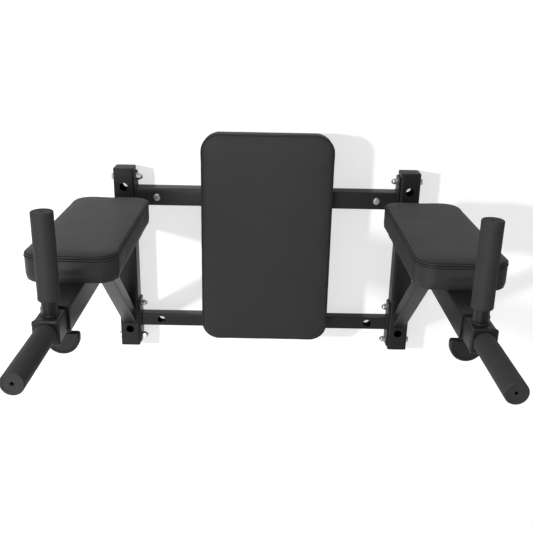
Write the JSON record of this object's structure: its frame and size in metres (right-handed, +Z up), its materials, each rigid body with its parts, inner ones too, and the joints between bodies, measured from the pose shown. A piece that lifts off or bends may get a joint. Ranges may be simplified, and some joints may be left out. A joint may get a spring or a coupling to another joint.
{
  "type": "dip station",
  "caption": "Wall-mounted dip and knee-raise station: steel wall frame, braced arms with pads, padded backrest, telescoping handle inserts locked by clamp knobs.",
  "frame": {"origin": "centre of the upper crossbar's wall face", "axes": "+X to the right along the wall as the user sees the station from the front, +Y into the wall, +Z up"},
  "size_m": [0.819, 0.836, 0.527],
  "materials": {
    "black_powder_coat": "semi-matt powder coat",
    "zinc_plated": "bright zinc plate",
    "black_plastic": "moulded black plastic",
    "black_vinyl": "fine-grained black vinyl",
    "foam_rubber": "closed-cell foam",
    "plywood": "bare plywood"
  },
  "bodies": {
    "wall_frame": {"left_upright": "black_powder_coat", "left_upper_end_plate": "black_powder_coat", "left_lower_end_plate": "black_powder_coat", "left_arm_tube": "black_powder_coat", "left_brace": "black_powder_coat", "left_clamp_nut": "black_powder_coat", "left_cross_bolt_1": "zinc_plated", "left_cross_bolt_2": "zinc_plated", "left_cross_bolt_3": "zinc_plated", "left_cross_bolt_4": "zinc_plated", "left_arm_pad_front_bolt": "zinc_plated", "left_arm_pad_back_bolt": "zinc_plated", "left_wall_bolt": "zinc_plated", "left_upright_top_cap": "black_plastic", "left_upright_bottom_cap": "black_plastic", "left_arm_collar": "black_plastic", "left_arm_pad": "black_vinyl", "left_arm_pad_board": "plywood", "right_upright": "black_powder_coat", "right_upper_end_plate": "black_powder_coat", "right_lower_end_plate": "black_powder_coat", "right_arm_tube": "black_powder_coat", "right_brace": "black_powder_coat", "right_clamp_nut": "black_powder_coat", "right_cross_bolt_1": "zinc_plated", "right_cross_bolt_2": "zinc_plated", "right_cross_bolt_3": "zinc_plated", "right_cross_bolt_4": "zinc_plated", "right_arm_pad_front_bolt": "zinc_plated", "right_arm_pad_back_bolt": "zinc_plated", "right_wall_bolt": "zinc_plated", "right_upright_top_cap": "black_plastic", "right_upright_bottom_cap": "black_plastic", "right_arm_collar": "black_plastic", "right_arm_pad": "black_vinyl", "right_arm_pad_board": "plywood", "upper_crossbar": "black_powder_coat", "lower_crossbar": "black_powder_coat", "backrest_pad": "black_vinyl", "backrest_board": "plywood", "backrest_upper_left_bolt": "zinc_plated", "backrest_upper_right_bolt": "zinc_plated", "backrest_lower_left_bolt": "zinc_plated", "backrest_lower_right_bolt": "zinc_plated"},
    "left_handle": {"left_handle_insert": "black_powder_coat", "left_upright_handle": "black_powder_coat", "left_forward_handle": "black_powder_coat", "left_upright_grip": "foam_rubber", "left_forward_grip": "foam_rubber"},
    "left_clamp": {"left_clamp_knob": "black_plastic", "left_clamp_stud": "zinc_plated"},
    "right_handle": {"right_handle_insert": "black_powder_coat", "right_upright_handle": "black_powder_coat", "right_forward_handle": "black_powder_coat", "right_upright_grip": "foam_rubber", "right_forward_grip": "foam_rubber"},
    "right_clamp": {"right_clamp_knob": "black_plastic", "right_clamp_stud": "zinc_plated"}
  },
  "joints": [
    {"name": "left_handle_slide", "type": "slide", "parent": "wall_frame", "child": "left_handle", "axis": [0, -1, 0], "range_m": [0, 0.08]},
    {"name": "left_clamp_turn", "type": "hinge", "parent": "wall_frame", "child": "left_clamp", "pos_m": [-0.326, -0.597, -0.0825], "axis": [0, 0, -1], "range_deg": [0, 360]},
    {"name": "right_handle_slide", "type": "slide", "parent": "wall_frame", "child": "right_handle", "axis": [0, -1, 0], "range_m": [0, 0.08]},
    {"name": "right_clamp_turn", "type": "hinge", "parent": "wall_frame", "child": "right_clamp", "pos_m": [0.326, -0.597, -0.0825], "axis": [0, 0, -1], "range_deg": [0, 360]}
  ]
}
